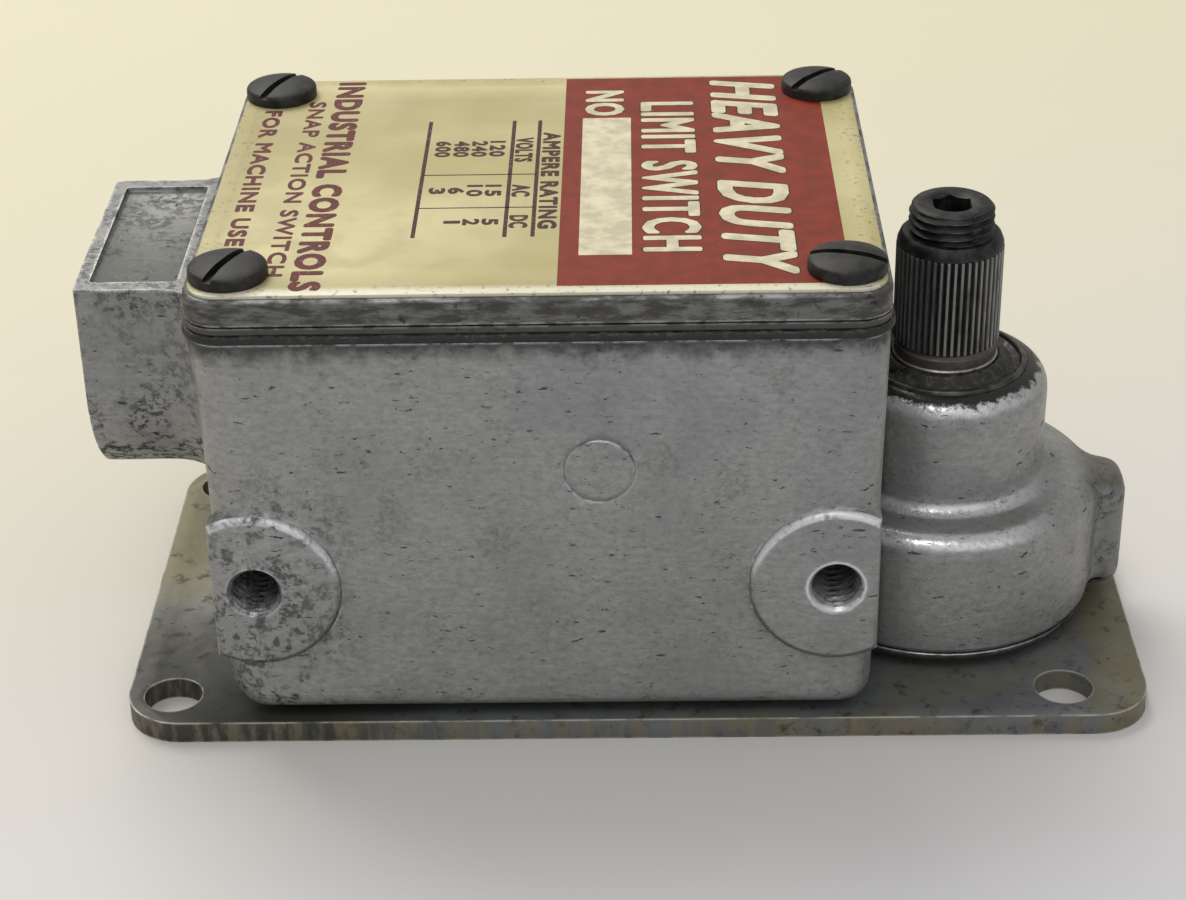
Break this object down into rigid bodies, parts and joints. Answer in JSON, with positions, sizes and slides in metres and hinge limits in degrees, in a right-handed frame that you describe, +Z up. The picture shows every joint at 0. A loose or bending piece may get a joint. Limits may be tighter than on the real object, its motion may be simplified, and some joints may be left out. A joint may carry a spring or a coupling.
{
  "type": "limit switch",
  "caption": "Heavy-duty rotary limit switch: cast box with a screwed cover, conduit hub, base plate and a splined sprung operating shaft for a lever.",
  "frame": {"origin": "middle of the base plate's underside", "axes": "+X from the conduit hub to the operating shaft, +Z up along the shaft, -Y towards the side with the two tapped pads"},
  "size_m": [0.1555, 0.0805, 0.0757],
  "materials": {
    "cast_housing": "die cast, weathered silver grey with dark pits",
    "cast_cover": "die cast, satin grey with worn bright edges",
    "base_plate_steel": "yellow-passivated sheet steel, worn to grey",
    "printed_plate": "brushed aluminium with cream lacquer and printed colours",
    "black_screw": "black oxide, slightly oily",
    "shaft_steel": "black oxide, worn bright on the serrations",
    "black_rubber": "matt moulded rubber",
    "seal_case_steel": "blackened pressed steel",
    "bronze": "sintered, oil-soaked",
    "spring_steel": "drawn wire",
    "bright_steel": "stamped and plated",
    "cream_nylon": "moulded",
    "brown_phenolic": "moulded",
    "plated_screw": "zinc plated",
    "silver_contact": "silver alloy, slightly tarnished",
    "brass_strip": "stamped",
    "green_screw": "green dyed head"
  },
  "bodies": {
    "case": {"base_plate": "base_plate_steel", "housing": "cast_housing", "base_screw_1": "black_screw", "base_screw_2": "black_screw", "base_screw_3": "black_screw", "base_screw_4": "black_screw", "cover_gasket": "black_rubber", "upper_bushing": "bronze", "lower_bushing": "bronze", "seal_case": "seal_case_steel", "shaft_seal": "black_rubber", "return_spring": "spring_steel", "pivot_pin": "bright_steel", "pin_clip": "black_screw", "contact_block": "brown_phenolic", "block_screw_1": "plated_screw", "block_screw_2": "plated_screw", "terminal_front_lower": "brass_strip", "fixed_contact_front_lower": "silver_contact", "terminal_screw_front_lower": "plated_screw", "terminal_front_upper": "brass_strip", "fixed_contact_front_upper": "silver_contact", "terminal_screw_front_upper": "plated_screw", "terminal_back_lower": "brass_strip", "fixed_contact_back_lower": "silver_contact", "terminal_screw_back_lower": "plated_screw", "terminal_back_upper": "brass_strip", "fixed_contact_back_upper": "silver_contact", "terminal_screw_back_upper": "plated_screw", "ground_screw": "green_screw"},
    "cover": {"cover": "cast_cover", "name_plate": "printed_plate", "cover_screw_1": "black_screw", "cover_screw_2": "black_screw", "cover_screw_3": "black_screw", "cover_screw_4": "black_screw"},
    "operating_shaft": {"operating_shaft": "shaft_steel", "crank": "bright_steel", "crank_pin": "bright_steel"},
    "fork_lever": {"fork_lever": "bright_steel", "snap_spring": "spring_steel"},
    "contact_carrier": {"contact_carrier": "cream_nylon", "bridge_contact_front": "brass_strip", "bridge_contact_back": "brass_strip"}
  },
  "joints": [
    {"name": "shaft_turn", "type": "hinge", "parent": "case", "child": "operating_shaft", "pos_m": [0.047, -0.003, 0.04], "axis": [0, 0, 1], "range_deg": [-40, 40], "stiffness_Nm_per_rad": 0.3},
    {"name": "fork_turn", "type": "hinge", "parent": "case", "child": "fork_lever", "pos_m": [0.007, -0.003, 0.015], "axis": [0, 0, 1], "range_deg": [-9.1, 9.1]},
    {"name": "carrier_turn", "type": "hinge", "parent": "case", "child": "contact_carrier", "pos_m": [0.007, -0.003, 0.027], "axis": [0, 0, 1], "range_deg": [-7.3, 7.3]},
    {"name": "cover_lift", "type": "slide", "parent": "case", "child": "cover", "axis": [0, 0, 1], "range_m": [0, 0.045]}
  ],
  "couplings": [
    {"joint": "fork_turn", "follows": "shaft_turn", "ratio": -0.226},
    {"joint": "carrier_turn", "follows": "shaft_turn", "ratio": -0.18}
  ]
}
